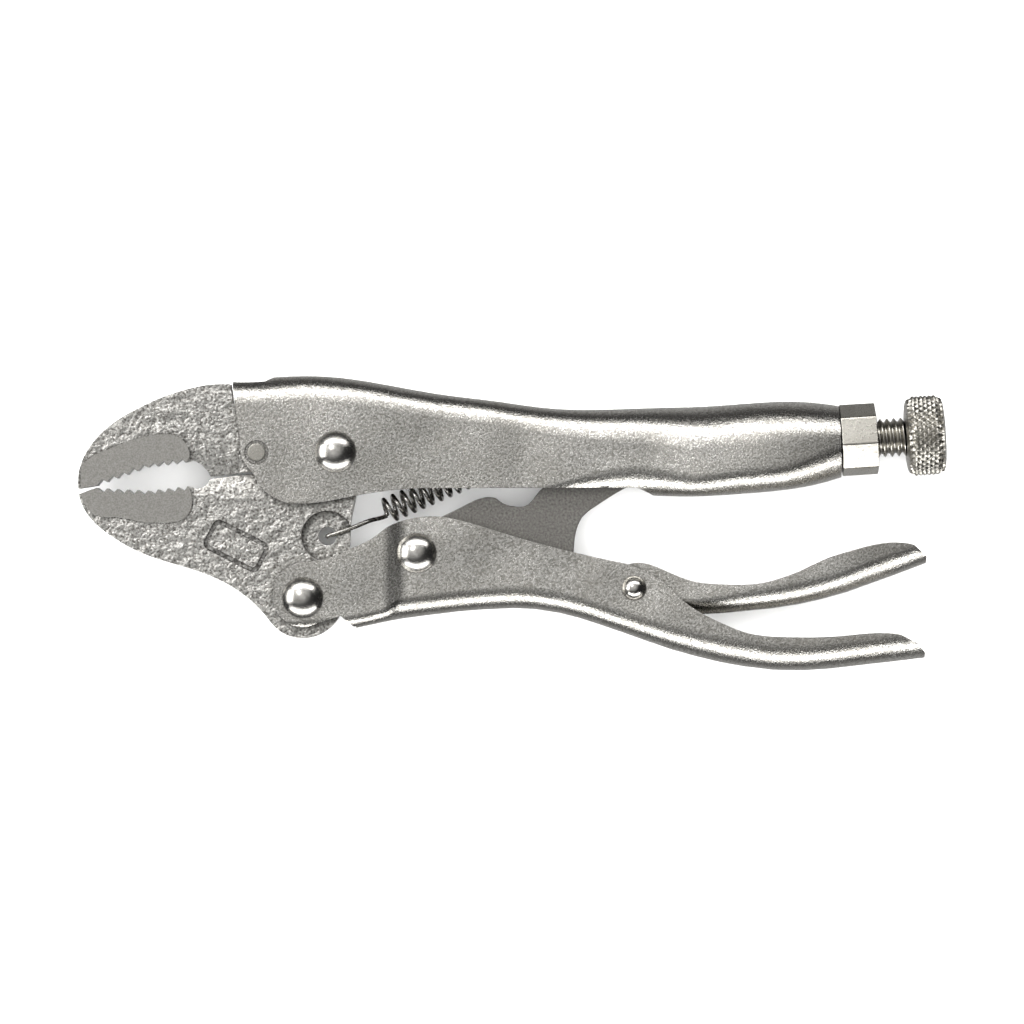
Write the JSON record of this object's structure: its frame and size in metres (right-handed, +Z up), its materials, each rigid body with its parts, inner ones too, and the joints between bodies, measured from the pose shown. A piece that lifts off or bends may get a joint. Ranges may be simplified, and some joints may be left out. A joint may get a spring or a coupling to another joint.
{
  "type": "locking pliers",
  "caption": "Curved-jaw locking pliers with a toggle link, a release lever and a knurled adjusting screw in the end of the upper handle.",
  "frame": {"origin": "middle of the tool's length and height, on its lowest face as it lies flat", "axes": "+X along the tool from the jaws to the knob, +Y from the lower handle to the upper handle, +Z up through the thickness, along every rivet"},
  "size_m": [0.1784, 0.0606, 0.018],
  "materials": {
    "nickel_sheet": "satin nickel plate on pressed sheet steel",
    "forged_steel": "satin nickel plate on a rough forging with ground side faces",
    "polished_rivet": "polished",
    "nut_steel": "bright turned and plated steel",
    "link_steel": "dull dark grey stamped steel",
    "spring_steel": "drawn spring wire"
  },
  "bodies": {
    "upper_body": {"upper_handle": "nickel_sheet", "fixed_jaw": "forged_steel", "fixed_jaw_pin": "polished_rivet", "jaw_pivot_rivet": "polished_rivet", "end_nut": "nut_steel", "return_spring": "spring_steel"},
    "lower_jaw_body": {"lower_jaw": "forged_steel"},
    "lower_handle_body": {"lower_handle": "nickel_sheet", "lower_handle_rivet": "polished_rivet", "link_rivet": "polished_rivet", "release_lever_rivet": "polished_rivet"},
    "link_body": {"toggle_link": "link_steel"},
    "release_lever_body": {"release_lever": "nickel_sheet"},
    "screw_body": {"adjusting_screw": "nut_steel"},
    "knob_body": {"adjusting_knob": "nut_steel"}
  },
  "joints": [
    {"name": "jaw_swing", "type": "hinge", "parent": "upper_body", "child": "lower_jaw_body", "pos_m": [-0.03618, 0.01462, 0.009], "axis": [0, 0, 1], "range_deg": [0, 24], "deforming": ["return_spring"]},
    {"name": "handle_swing", "type": "hinge", "parent": "lower_jaw_body", "child": "lower_handle_body", "pos_m": [-0.04291, -0.01523, 0.009], "axis": [0, 0, 1], "range_deg": [-72, 0]},
    {"name": "link_swing", "type": "hinge", "parent": "lower_handle_body", "child": "link_body", "pos_m": [-0.01953, -0.00608, 0.009], "axis": [0, 0, 1], "range_deg": [0, 73.2]},
    {"name": "release_swing", "type": "hinge", "parent": "lower_handle_body", "child": "release_lever_body", "pos_m": [0.02507, -0.01328, 0.009], "axis": [0, 0, 1], "range_deg": [-10.5, 0]},
    {"name": "screw_travel", "type": "slide", "parent": "upper_body", "child": "screw_body", "axis": [0.9981, 0.061, 0], "range_m": [0, 0.015]},
    {"name": "knob_turn", "type": "hinge", "parent": "screw_body", "child": "knob_body", "pos_m": [0.06752, 0.01698, 0.009], "axis": [0.9981, 0.061, 0], "range_deg": [0, 3828.1]}
  ],
  "couplings": [
    {"joint": "handle_swing", "follows": "jaw_swing", "ratio": -3},
    {"joint": "link_swing", "follows": "jaw_swing", "ratio": 3.05},
    {"joint": "knob_turn", "follows": "screw_travel", "rad_per_m": 4453}
  ]
}
